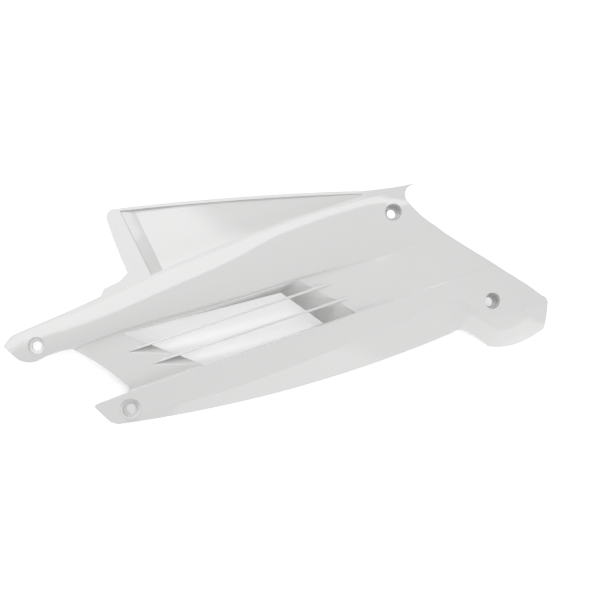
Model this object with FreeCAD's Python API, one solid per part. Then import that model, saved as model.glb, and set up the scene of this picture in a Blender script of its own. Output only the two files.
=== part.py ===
import FreeCAD, Part
import math
import os

# Scooter engine side fairing: one moulded plastic shell, outer face up, open at the back.
# X runs along the louvre blades towards the wide end, Y across towards the wing, Z out of the face.
# The draft frame has hole 1 at X = Y = 0 and the resting plane at Z = 0. The finished part is moved
# so that the middle of its box is at X = Y = 0.

# Wall and rim
WALL = 2.6
RIM_DEPTH = 9.0
RIM_SLOPE = 0.37

# How far the upper arm and the foot bow out, and how far the arms' steps down to the web lean
BEAM_CROWN = 4.0
CREASE_SETBACK = 1.2
CREST_SETBACK = 1.2
FOOT_CROWN = 3.0

# Screw pockets, each as (x, y, depth), and the round pad that one of them sits in
BORE_DIAMETER = 8.4
POCKET_DIAMETER = 14.6
SEAT_THICKNESS = 3.0
POCKETS = {
    "front_upper": (0.0, 0.0, 3.6),
    "front_lower": (59.6, -79.3, 3.6),
    "rear_upper": (334.6, 12.6, 11.0),
    "rear_lower": (399.1, -90.5, 12.0),
}
PAD_DIAMETER = 18.6
PADDED = ("front_lower",)

# Louvre blades and the window that they cross. A blade rises from the web at its foot, is at full
# height from its mouth to its ramp, and fades at its end. A scoop dips beside it, down to y = scoop_to.
BLADE_THICKNESS = 2.2
BLADE_DEPTH = 11.0
BLADE_PROUD = 1.6
SCOOP_DEPTH = 8.0
COLLAR_WALL = 3.4
WINDOW_FLOOR = 20.5
WINDOW_TOP = 38.5
BLADES = [
    {"y": -29.6, "foot": 73.2, "mouth": 94.8, "ramp": 249.7, "end": 268.4, "scoop_to": -45.5},
    {"y": -46.6, "foot": 90.5, "mouth": 115.1, "ramp": 262.3, "end": 279.4, "scoop_to": -61.5},
]
BLADE_SINK = 1.3
SCOOP_OVERRUN = 8.0
WINDOW_DEEP = [(73.1, -13.1), (134.4, -63.0), (247.8, -60.5), (219.9, -22.5)]
WINDOW_WIDE = [(73.1, -12.2), (134.4, -63.0), (275.6, -61.4), (238.5, -16.0)]

# Wing tray: its floor is deep beside the crest, shallow beside the lip and fades out at its far end
LIP_WIDTH = 2.8
LIP_HEIGHT = 2.6
TRAY_DROP = 13.0
END_DROP = 1.2
STRIP_WIDTH = 2.6
WING_EDGE = [(99.5, 98.6), (208, 70.4), (313.9, 39.4)]
WING_BOW = 1.4
TRAY_START = 104.0
TRAY_END = 313.0
BAND_HEAD = 105.0
BAND_FOOT = 114.6
BAND_SLOPE = {"head": {"step": 0.6, "run": 12.0}, "foot": {"step": 3.5, "run": 11.0}}
SLOPE_THICKNESS = 3.4
SLOPE_OVERRUN = 0.2
TRAY_REACH = 8.0
TRAY_STATIONS = (90, 130, 170, 210, 250, 290, 345)

# Rails: the lines that run along the part, as (x, y, z)
CREST = [(-34, 9.5, 18), (27, 16.4, 25), (65, 19.6, 30), (114, 24.4, 37), (160, 28.2, 44),
         (207, 31, 49), (275, 33, 54), (328, 31, 55), (360, 30, 54.5), (465, 25, 50)]
BEAM_EDGE = [(-34, -16, 13), (30.5, -11.2, 19), (73.7, -10.9, 26), (107.5, -8.3, 30), (164.6, -13.5, 36),
             (238.8, -14.7, 40.5), (300, -19, 41.5), (325, -20, 42.8), (345, -19.5, 48), (365, -18, 49.5),
             (465, -30, 44)]
LOW_CREST = [(-34, -66, 10), (33, -65.4, 15), (63.7, -64.7, 19), (133.8, -64, 30), (242.4, -62.8, 42),
             (317, -62.2, 43.5), (340, -62, 43.8), (358, -62, 46), (400, -60, 45.5), (465, -60, 38)]
LOW_CREASE = [(-34, -84, 7), (45, -86, 10.5), (74.6, -87.3, 14), (125, -89.5, 22), (187, -89.8, 30),
              (284.5, -83.6, 38), (331.7, -81.5, 39.5), (363, -77, 41), (380, -90, 40.5), (400, -106, 36.5),
              (430, -108, 32.5), (465, -98, 27)]
LOW_EDGE = [(-34, -89, 5), (45, -90, 9), (124.6, -101.5, 9), (213.8, -110.5, 9), (291.9, -113, 10),
            (340, -113, 12), (365.5, -110, 14), (381, -121, 8), (403, -137.5, 1), (434, -137.5, 1),
            (465, -137, 2)]

# How high the two steps stand along the part, as (x, height), and the share of the foot's bow
BEAM_STEP = [(-34, 2.5), (75, 4), (165, 4.5), (240, 3.5), (300, 0.9), (340, 0.3), (465, 0.3)]
CREST_STEP = [(-34, 4), (60, 5), (134, 6), (240, 5), (300, 1.5), (330, 0.3), (465, 0.3)]
FOOT_SHARE = [(-34, 0.04), (340, 0.04), (365, 0.2), (400, 1), (465, 1)]

# Where the cross-sections of the loft stand, and how far the cutting shapes reach past the part
STATIONS = [-34, 30, 90, 150, 210, 270, 310, 328, 344, 358, 376, 394, 410, 430, 465]
FAR_UP = 108.0
FAR_DOWN = -154.0
DEEP = -60.0
DEEPER = -65.0
HIGH = 90.0
TALL = 180.0
SPREAD = 2000.0
V = FreeCAD.Vector


def smooth(knots, x):
    """The value at x of the smooth line through knots, each (x, value, ...), as a list of values."""
    last = len(knots) - 1
    i = 0
    while i < last - 1 and knots[i + 1][0] < x:
        i += 1
    a, b = knots[i], knots[i + 1]
    before = knots[max(i - 1, 0)]
    after = knots[min(i + 2, last)]
    span = b[0] - a[0]
    t = (x - a[0]) / span
    out = []
    for k in range(1, len(a)):
        chord = (b[k] - a[k]) / span
        left = chord if i == 0 else (b[k] - before[k]) / (b[0] - before[0])
        right = chord if i + 1 == last else (after[k] - a[k]) / (after[0] - a[0])
        out.append((2 * t ** 3 - 3 * t ** 2 + 1) * a[k] + (t ** 3 - 2 * t ** 2 + t) * span * left
                   + (3 * t ** 2 - 2 * t ** 3) * b[k] + (t ** 3 - t ** 2) * span * right)
    return out


def crown_point(a, b, height):
    """The point off the middle of chord a-b, on its upper side."""
    dy, dz = b[0] - a[0], b[1] - a[1]
    length = math.hypot(dy, dz)
    return ((a[0] + b[0]) / 2 + dz / length * height, (a[1] + b[1]) / 2 - dy / length * height)


def profile(x):
    """The outer face across the part at x, from the wing side down, as (y, z) corners and crowns."""
    crest = smooth(CREST, x)
    beam = smooth(BEAM_EDGE, x)
    low = smooth(LOW_CREST, x)
    crease = smooth(LOW_CREASE, x)
    edge = smooth(LOW_EDGE, x)
    rim = (FAR_UP, crest[1] - RIM_SLOPE * (FAR_UP - crest[0]))
    web_top = (beam[0] - CREASE_SETBACK, beam[1] - smooth(BEAM_STEP, x)[0])
    web_low = (low[0] + CREST_SETBACK, low[1] - smooth(CREST_STEP, x)[0])
    fall = (crease[1] - edge[1]) / (crease[0] - edge[0])
    far = (FAR_DOWN, edge[1] - fall * (edge[0] - FAR_DOWN))
    corners = [rim, tuple(crest), tuple(beam), web_top, web_low, tuple(low), tuple(crease), tuple(edge), far]
    crowns = {1: BEAM_CROWN, 6: FOOT_CROWN * smooth(FOOT_SHARE, x)[0]}
    return corners, crowns


def inward(corners, crowns, wall):
    """The same line moved below the face by the wall, square to it."""
    moved = []
    for i, (y, z) in enumerate(corners):
        normals = []
        for a, b in ((i - 1, i), (i, i + 1)):
            if a >= 0 and b < len(corners):
                dy = corners[b][0] - corners[a][0]
                dz = corners[b][1] - corners[a][1]
                length = math.hypot(dy, dz)
                normals.append((dz / length, -dy / length))
        ny = sum(n[0] for n in normals)
        nz = sum(n[1] for n in normals)
        size = math.hypot(ny, nz)
        moved.append((y - ny / size * wall, z - nz / size * wall))
    return moved, crowns


def section(x, wall, bottom):
    """A closed wire at x: the face, or the line one wall below it, down to a flat bottom."""
    corners, crowns = profile(x)
    if wall:
        corners, crowns = inward(corners, crowns, wall)
    points = [V(x, y, z) for y, z in corners]
    edges = []
    for i in range(len(points) - 1):
        if i in crowns:
            y, z = crown_point(corners[i], corners[i + 1], 2 * crowns[i])
            bow = Part.BezierCurve()
            bow.setPoles([points[i], V(x, y, z), points[i + 1]])
            edges.append(bow.toShape())
        else:
            edges.append(Part.LineSegment(points[i], points[i + 1]).toShape())
    low_end = V(x, points[-1].y, bottom)
    high_end = V(x, points[0].y, bottom)
    for a, b in ((points[-1], low_end), (low_end, high_end), (high_end, points[0])):
        edges.append(Part.LineSegment(a, b).toShape())
    return Part.Wire(edges)


def below_face(wall, bottom):
    return Part.makeLoft([section(x, wall, bottom) for x in STATIONS], True, False, False, 3)


def prism(wire, low, high):
    flat = wire.copy()
    flat.translate(V(0, 0, low))
    return Part.Face(flat).extrude(V(0, 0, high - low))


def chain(steps):
    """A closed plan wire. Each step is a corner, or a pair: a point that an arc passes and its end."""
    here = steps[0]
    edges = []
    for step in steps[1:] + [steps[0]]:
        if isinstance(step[0], tuple):
            through, end = step
            edges.append(Part.Arc(V(*here, 0), V(*through, 0), V(*end, 0)).toShape())
        else:
            end = step
            edges.append(Part.LineSegment(V(*here, 0), V(*end, 0)).toShape())
        here = end
    return Part.Wire(edges)


def outline():
    return chain([
        (-18.8, 15.0), ((6, 17.6), (30.8, 19.7)), (66.4, 23.6), (71.5, 29.4), (86.5, 30.9), (95.6, 36.1),
        ((92.6, 65), (91.2, 91.0)), ((93.5, 96.6), WING_EDGE[0]), (WING_EDGE[1], WING_EDGE[2]),
        ((337, 34.6), (360.6, 31.4)), ((350.5, 26.5), (348.7, 20.5)), ((353.0, 9.5), (365.9, -8.8)),
        ((403, -51.5), (450.6, -101.5)), ((454, -105), (454.3, -109.2)), (447.1, -132.1),
        ((418.6, -137.8), (393.2, -131.6)), ((384.5, -120.5), (372, -109.3)), ((368, -107.0), (360, -107.5)),
        ((213.8, -109.4), (45.2, -88.7)), (39.0, -84.7), (31.2, -69.6), ((30.7, -66.9), (33.0, -65.4)),
        (61.2, -64.3), ((63.8, -62), (63.0, -57.8)), ((51.5, -39.7), (27.4, -12.0)),
        ((12, -10.6), (-3.4, -11.9)), ((-12, -11.3), (-19.6, -5.8)), (-27.7, 8.9),
    ])


def shell_body(face_solid, cavity, plan):
    """The skin with its turned-in rim, from the outer face, the hollow below it and the plan outline."""
    inner = plan.makeOffset2D(-WALL)
    body = prism(plan, DEEP, HIGH).common(face_solid)
    hollow = prism(inner, DEEPER, HIGH).common(cavity)
    lower = face_solid.copy()
    lower.translate(V(0, 0, -RIM_DEPTH))
    return body.cut(hollow).cut(lower)


def web_height(x, y):
    """The height of the web between the arms."""
    corners = profile(x)[0]
    top, low = corners[3], corners[4]
    share = (y - top[0]) / (low[0] - top[0])
    return top[1] + share * (low[1] - top[1])


def rim_height(x, y):
    """The height of the sloping rim surface beyond the crest."""
    crest = smooth(CREST, x)
    return crest[1] - RIM_SLOPE * (y - crest[0])


def lip_line(x):
    """The inner side of the wing's lip at x."""
    a, b = WING_EDGE[0], WING_EDGE[2]
    share = (x - a[0]) / (b[0] - a[0])
    return a[1] + share * (b[1] - a[1]) + WING_BOW * 4 * share * (1 - share) - LIP_WIDTH


def tray_height(x, y):
    """The height of the tray's floor, low beside the crest and high beside the lip."""
    crest_side = smooth(CREST, x)[0] + STRIP_WIDTH
    lip_side = lip_line(x)
    share = (x - TRAY_START) / (TRAY_END - TRAY_START)
    low = rim_height(x, crest_side) - TRAY_DROP - share * (END_DROP - TRAY_DROP)
    high = rim_height(x, lip_side) - LIP_HEIGHT - share * (END_DROP - LIP_HEIGHT)
    return low + (high - low) * (y - crest_side) / (lip_side - crest_side)


def curve_through(points):
    line = Part.BSplineCurve()
    line.interpolate(points)
    return line.toShape()


def above_tray(drop):
    """All the space above the tray's floor, or above a surface that lies below it by the drop."""
    sides = []
    for side in (-TRAY_REACH, TRAY_REACH):
        points = []
        for x in TRAY_STATIONS:
            y = (lip_line(x) if side > 0 else smooth(CREST, x)[0] + STRIP_WIDTH) + side
            points.append(V(x, y, tray_height(x, y) - drop))
        sides.append(curve_through(points))
    return Part.makeRuledSurface(*sides).extrude(V(0, 0, HIGH))


def tray_plan():
    """The tray seen from above: the crest side, a short end, the lip side and the band side."""
    middle = (BAND_FOOT + TRAY_END) / 2
    crest_side = [(x, smooth(CREST, x)[0] + STRIP_WIDTH) for x in (BAND_FOOT, middle, TRAY_END)]
    lip_side = [(x, lip_line(x)) for x in (TRAY_END, middle, BAND_HEAD)]
    return chain([crest_side[0], (crest_side[1], crest_side[2]), lip_side[0], (lip_side[1], lip_side[2])])


def below_band_slope(drop):
    """All the space below the slope that leads from the wing's band down to the tray's floor."""
    ends = []
    for x, y, slope in ((BAND_HEAD, lip_line(BAND_HEAD), BAND_SLOPE["head"]),
                        (BAND_FOOT, smooth(CREST, BAND_FOOT)[0] + STRIP_WIDTH, BAND_SLOPE["foot"])):
        top = V(x, y, rim_height(x, y) - slope["step"] - drop)
        foot = V(x + slope["run"], y, tray_height(x + slope["run"], y) - drop)
        ends.append((top, foot))
    sides = []
    for share in (-SLOPE_OVERRUN, 1 + SLOPE_OVERRUN):
        top = ends[0][0] + (ends[1][0] - ends[0][0]) * share
        foot = ends[0][1] + (ends[1][1] - ends[0][1]) * share
        back = top + (top - foot)
        sides.append(Part.makePolygon([back, foot, V(foot.x, foot.y, DEEP), V(back.x, back.y, DEEP), back]))
    return Part.makeLoft(sides, True, True)


def tray(face_solid):
    """The recessed tray of the wing, as what it adds below the rim surface and what it takes away."""
    plan = tray_plan()
    added = prism(plan.makeOffset2D(WALL), DEEP, HIGH).common(above_tray(WALL)).common(face_solid)
    taken = prism(plan, DEEP, HIGH).common(above_tray(0))
    return added.cut(below_band_slope(SLOPE_THICKNESS)), taken.cut(below_band_slope(0))


def at_height(corners, z):
    return Part.makePolygon([V(x, y, z) for x, y in corners + corners[:1]])


def window():
    """The window's sloping collar, as what it adds below the web and what it takes away."""
    deep = at_height(WINDOW_DEEP, WINDOW_FLOOR)
    wide = at_height(WINDOW_WIDE, WINDOW_TOP)
    taken = Part.makeLoft([deep, wide], True, True)
    taken = taken.fuse(Part.Face(deep).extrude(V(0, 0, DEEP))).fuse(Part.Face(wide).extrude(V(0, 0, HIGH)))
    added = Part.makeLoft([deep.makeOffset2D(COLLAR_WALL), wide.makeOffset2D(COLLAR_WALL)], True, True)
    return added, taken


def blade(place):
    """One louvre blade: it rises from the web, crosses the window and fades into the web again."""
    y = place["y"]
    level = {key: web_height(place[key], y) for key in ("foot", "mouth", "ramp", "end")}
    corners = [
        (place["foot"], level["foot"] - BLADE_SINK / 2),
        (place["mouth"], level["mouth"] + BLADE_PROUD),
        (place["ramp"], level["ramp"] + BLADE_PROUD),
        (place["end"], level["end"] - BLADE_SINK / 4),
        (place["end"], level["end"] - BLADE_SINK),
        (place["ramp"], level["ramp"] + BLADE_PROUD - BLADE_DEPTH),
        (place["mouth"], level["mouth"] + BLADE_PROUD - BLADE_DEPTH),
        (place["foot"], level["foot"] - BLADE_SINK),
    ]
    side = Part.makePolygon([V(x, y - BLADE_THICKNESS / 2, z) for x, z in corners + corners[:1]])
    return Part.Face(side).extrude(V(0, BLADE_THICKNESS, 0))


def window_side(y):
    """Where the window's left side is at y."""
    (x1, y1), (x2, y2) = WINDOW_DEEP[0], WINDOW_DEEP[1]
    return x1 + (y - y1) / (y2 - y1) * (x2 - x1)


def scoop(place):
    """The facet that dips from the web to one side of a blade, beside the window."""
    y = place["y"] - BLADE_THICKNESS / 2
    foot = V(place["foot"], y, web_height(place["foot"], y))
    mouth_x = window_side(y)
    mouth = V(mouth_x, y, web_height(mouth_x, y) - SCOOP_DEPTH)
    far_y = place["scoop_to"]
    far_x = window_side(far_y)
    far = V(far_x, far_y, web_height(far_x, far_y))
    normal = (mouth - foot).cross(far - foot)
    onward = V(SCOOP_OVERRUN, 0, -SCOOP_OVERRUN * normal.x / normal.z)
    facet = Part.Face(Part.makePolygon([foot, mouth, mouth + onward, far + onward, far, foot]))
    taken = facet.extrude(V(0, 0, HIGH))
    facet.translate(V(0, 0, -WALL))
    return facet.extrude(V(0, 0, SCOOP_DEPTH + 2 * WALL)), taken


def face_height(face_solid, x, y):
    line = Part.LineSegment(V(x, y, 0), V(x, y, HIGH)).toShape()
    return line.common(face_solid).BoundBox.ZMax


def pocket(face_solid, x, y, depth):
    """A screw pocket: a cup with a seat and a hole, as what it adds and what it takes away."""
    seat = face_height(face_solid, x, y) - depth
    radius = POCKET_DIAMETER / 2
    under = V(x, y, seat - SEAT_THICKNESS)
    cup = Part.makeCylinder(radius + WALL, HIGH, under).common(face_solid)
    room = Part.makeCylinder(radius, HIGH, V(x, y, seat))
    hole = Part.makeCylinder(BORE_DIAMETER / 2, TALL, V(x, y, DEEP))
    return cup, room.fuse(hole), seat


def pad(x, y, seat, depth):
    """A level pad round a pocket on a sloping face, as what it adds and what it takes away."""
    top = V(x, y, seat + depth)
    added = Part.makeCylinder(PAD_DIAMETER / 2, depth + SEAT_THICKNESS, V(x, y, seat - SEAT_THICKNESS))
    return added, Part.makeCylinder(PAD_DIAMETER / 2, HIGH, top)


def fairing():
    face_solid = below_face(0, DEEPER)
    cavity = below_face(WALL, DEEPER - RIM_DEPTH)
    body = shell_body(face_solid, cavity, outline())
    added = []
    taken = []
    for plus, minus in [tray(face_solid), window()]:
        added.append(plus.common(face_solid))
        taken.append(minus)
    for place in BLADES:
        plus, minus = scoop(place)
        added.append(plus.common(face_solid))
        taken.append(minus)
    seats = {}
    for name, (x, y, depth) in POCKETS.items():
        plus, minus, seats[name] = pocket(face_solid, x, y, depth)
        added.append(plus)
        taken.append(minus)
        if name in PADDED:
            plus, minus = pad(x, y, seats[name], depth)
            added.append(plus)
            taken.append(minus)
    body = body.fuse(added).cut(taken).fuse([blade(place) for place in BLADES])
    above_ground = Part.makeBox(SPREAD, SPREAD, TALL, V(-SPREAD / 2, -SPREAD / 2, 0))
    return body.common(above_ground).removeSplitter(), seats


def main():
    os.makedirs("parts", exist_ok=True)
    body, seats = fairing()
    box = body.optimalBoundingBox(False)
    shift = V(-(box.XMin + box.XMax) / 2, -(box.YMin + box.YMax) / 2, -box.ZMin)
    solid = body.Solids[0]
    solid.translate(shift)
    print("solids", len(body.Solids), "valid", body.isValid(), "volume", body.Volume)
    print("shift", shift, "size", box.XLength, box.YLength, box.ZLength)
    print("mass centre", solid.CenterOfMass)
    for name, (x, y, depth) in POCKETS.items():
        print(name, round(x + shift.x, 3), round(y + shift.y, 3), round(seats[name] + shift.z, 3))
    solid.exportStep("parts/side_fairing.step")


main()
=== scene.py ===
import bpy
import math
from mathutils import Matrix, Vector


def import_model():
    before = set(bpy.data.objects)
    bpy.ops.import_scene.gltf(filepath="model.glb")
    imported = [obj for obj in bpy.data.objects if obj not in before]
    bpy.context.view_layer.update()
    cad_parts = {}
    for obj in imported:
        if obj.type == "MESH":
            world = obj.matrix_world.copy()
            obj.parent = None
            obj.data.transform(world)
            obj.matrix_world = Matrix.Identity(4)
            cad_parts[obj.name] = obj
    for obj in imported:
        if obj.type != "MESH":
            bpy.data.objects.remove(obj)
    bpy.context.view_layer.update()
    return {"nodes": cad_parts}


# Looks of a scooter engine side fairing: glossy white plastic on a pale floor, seen from above.

PLASTIC_COLOUR = (0.8, 0.8, 0.795, 1)
PLASTIC_ROUGHNESS = 0.08
PLASTIC_IOR = 1.5
EDGE_RADIUS = 0.0009
EDGE_SAMPLES = 16

FLOOR_COLOUR = (0.9, 0.9, 0.9, 1)
FLOOR_GLOW = 0.48
FLOOR_SIZE = 6.0

# The light from all round, and the white that the camera sees behind the floor
WORLD_COLOUR = (1, 1, 1, 1)
WORLD_STRENGTH = 0.52

# White panels round the part that show only as bright fields in its gloss.
# Those overhead: glow, height and corners. Those that stand upright: glow and the two ends of the foot.
OVERHEAD = {
    "over_arms": (2.1, 1.2, [(0.42, 0.14), (0.42, 0.21), (-0.4, 0.86), (-1.1, 1.5),
                             (-1.1, -0.35), (-0.5, -0.12), (-0.05, 0.14)]),
    "over_tray": (3.8, 1.19, [(0.45, 0.14), (0.45, 0.27), (0.2, 0.3), (-0.8, 1.14),
                              (-1.3, 0.52), (-0.52, -0.15), (-0.05, 0.14)]),
    "behind_wing": (2.6, 1.2, [(0.5, 1.2), (0.5, 2.0), (-1.5, 2.0), (-1.5, 1.2)]),
}
UPRIGHT = {
    "before_arm": (0.45, (-1.5, -1.4), (1.5, -1.4)),
    "beyond_foot": (0.75, (1.5, -1.4), (1.5, 1.0)),
}
UPRIGHT_FOOT = 0.02
UPRIGHT_TOP = 0.9

# The soft lamps that light the part and don't show in its gloss: place, size and power
LAMPS = {
    "key": ((-0.25, 0.95, 1.35), (0.35, 0.35), 4.8),
    "low_key": ((-0.4, 1.2, 0.7), (0.35, 0.35), 3.6),
    "fill": ((0.35, -1.1, 0.75), (1.0, 0.6), 4.2),
    "low_fill": ((0.2, -1.3, 0.3), (1.2, 0.4), 2.1),
}

# Camera: where it stands, how far it leans over and how far the photograph is turned about its line of sight
CAMERA_PLACE = Vector((-0.0742, -0.0431, 0.834))
VERTICALS_MEET = (-0.10, 0.07)
IMAGE_TURN = math.radians(18.5)
LENS = 54.0
SENSOR = 36.0


def plastic():
    """Moulded gloss plastic whose small edges catch soft light."""
    material = bpy.data.materials.new("white_plastic")
    material.use_nodes = True
    nodes = material.node_tree.nodes
    links = material.node_tree.links
    shader = nodes["Principled BSDF"]
    shader.inputs["Base Color"].default_value = PLASTIC_COLOUR
    shader.inputs["Roughness"].default_value = PLASTIC_ROUGHNESS
    shader.inputs["IOR"].default_value = PLASTIC_IOR
    edge = nodes.new("ShaderNodeBevel")
    edge.samples = EDGE_SAMPLES
    edge.inputs["Radius"].default_value = EDGE_RADIUS
    links.new(edge.outputs["Normal"], shader.inputs["Normal"])
    return material


def floor_material():
    """Matt white that keeps the part's shadow and shows white to the camera and in the gloss."""
    material = bpy.data.materials.new("floor")
    material.use_nodes = True
    nodes = material.node_tree.nodes
    links = material.node_tree.links
    nodes.clear()
    matt = nodes.new("ShaderNodeBsdfDiffuse")
    matt.inputs["Color"].default_value = FLOOR_COLOUR
    ray = nodes.new("ShaderNodeLightPath")
    seen = nodes.new("ShaderNodeMath")
    seen.operation = "MAXIMUM"
    links.new(ray.outputs["Is Camera Ray"], seen.inputs[0])
    links.new(ray.outputs["Is Glossy Ray"], seen.inputs[1])
    strength = nodes.new("ShaderNodeMath")
    strength.operation = "MULTIPLY"
    strength.inputs[1].default_value = FLOOR_GLOW
    links.new(seen.outputs[0], strength.inputs[0])
    glow = nodes.new("ShaderNodeEmission")
    links.new(strength.outputs[0], glow.inputs["Strength"])
    both = nodes.new("ShaderNodeAddShader")
    links.new(matt.outputs[0], both.inputs[0])
    links.new(glow.outputs[0], both.inputs[1])
    end = nodes.new("ShaderNodeOutputMaterial")
    links.new(both.outputs[0], end.inputs["Surface"])
    return material


def floor():
    bpy.ops.mesh.primitive_plane_add(size=FLOOR_SIZE)
    ground = bpy.context.object
    ground.name = "floor"
    ground.data.materials.append(floor_material())


def lamps():
    for name, (place, size, power) in LAMPS.items():
        data = bpy.data.lights.new(name, "AREA")
        data.shape = "RECTANGLE"
        data.size, data.size_y = size
        data.energy = power
        lamp = bpy.data.objects.new(name, data)
        lamp.location = place
        lamp.rotation_euler = Vector(place).to_track_quat("Z", "Y").to_euler()
        lamp.visible_glossy = False
        bpy.context.scene.collection.objects.link(lamp)


def glowing(strength):
    material = bpy.data.materials.new("panel")
    material.use_nodes = True
    nodes = material.node_tree.nodes
    nodes.clear()
    glow = nodes.new("ShaderNodeEmission")
    glow.inputs["Strength"].default_value = strength
    end = nodes.new("ShaderNodeOutputMaterial")
    material.node_tree.links.new(glow.outputs[0], end.inputs["Surface"])
    return material


def panel(name, glow, corners):
    mesh = bpy.data.meshes.new(name)
    mesh.from_pydata(corners, [], [range(len(corners))])
    sheet = bpy.data.objects.new(name, mesh)
    sheet.data.materials.append(glowing(glow))
    bpy.context.scene.collection.objects.link(sheet)
    sheet.visible_camera = False
    sheet.visible_diffuse = False
    sheet.visible_shadow = False


def panels():
    for name, (glow, height, corners) in OVERHEAD.items():
        panel(name, glow, [(x, y, height) for x, y in corners])
    for name, (glow, start, end) in UPRIGHT.items():
        foot = [(*start, UPRIGHT_FOOT), (*end, UPRIGHT_FOOT)]
        top = [(*end, UPRIGHT_TOP), (*start, UPRIGHT_TOP)]
        panel(name, glow, foot + top)


def sky():
    """White for the camera, and a weaker even light for the part."""
    world = bpy.data.worlds.new("studio")
    bpy.context.scene.world = world
    world.use_nodes = True
    nodes = world.node_tree.nodes
    links = world.node_tree.links
    backdrop = nodes["Background"]
    backdrop.inputs["Color"].default_value = WORLD_COLOUR
    ray = nodes.new("ShaderNodeLightPath")
    strength = nodes.new("ShaderNodeMath")
    strength.operation = "MAXIMUM"
    strength.inputs[1].default_value = WORLD_STRENGTH
    links.new(ray.outputs["Is Camera Ray"], strength.inputs[0])
    links.new(strength.outputs[0], backdrop.inputs["Strength"])


def camera():
    data = bpy.data.cameras.new("camera")
    data.sensor_width = SENSOR
    data.lens = LENS
    body = bpy.data.objects.new("camera", data)
    up = Vector((-VERTICALS_MEET[0], VERTICALS_MEET[1], 1)).normalized()
    along = Vector((math.cos(IMAGE_TURN), math.sin(IMAGE_TURN), 0))
    along = (along - up * along.dot(up)).normalized()
    across = up.cross(along)
    body.matrix_world = Matrix.Translation(CAMERA_PLACE) @ Matrix((along, across, up)).to_4x4()
    bpy.context.scene.collection.objects.link(body)
    bpy.context.scene.camera = body


def main():
    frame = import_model()
    fairing = frame["nodes"]["side_fairing"]
    fairing.data.materials.clear()
    fairing.data.materials.append(plastic())
    floor()
    lamps()
    panels()
    sky()
    camera()
    bpy.context.scene.view_settings.view_transform = "Standard"


main()
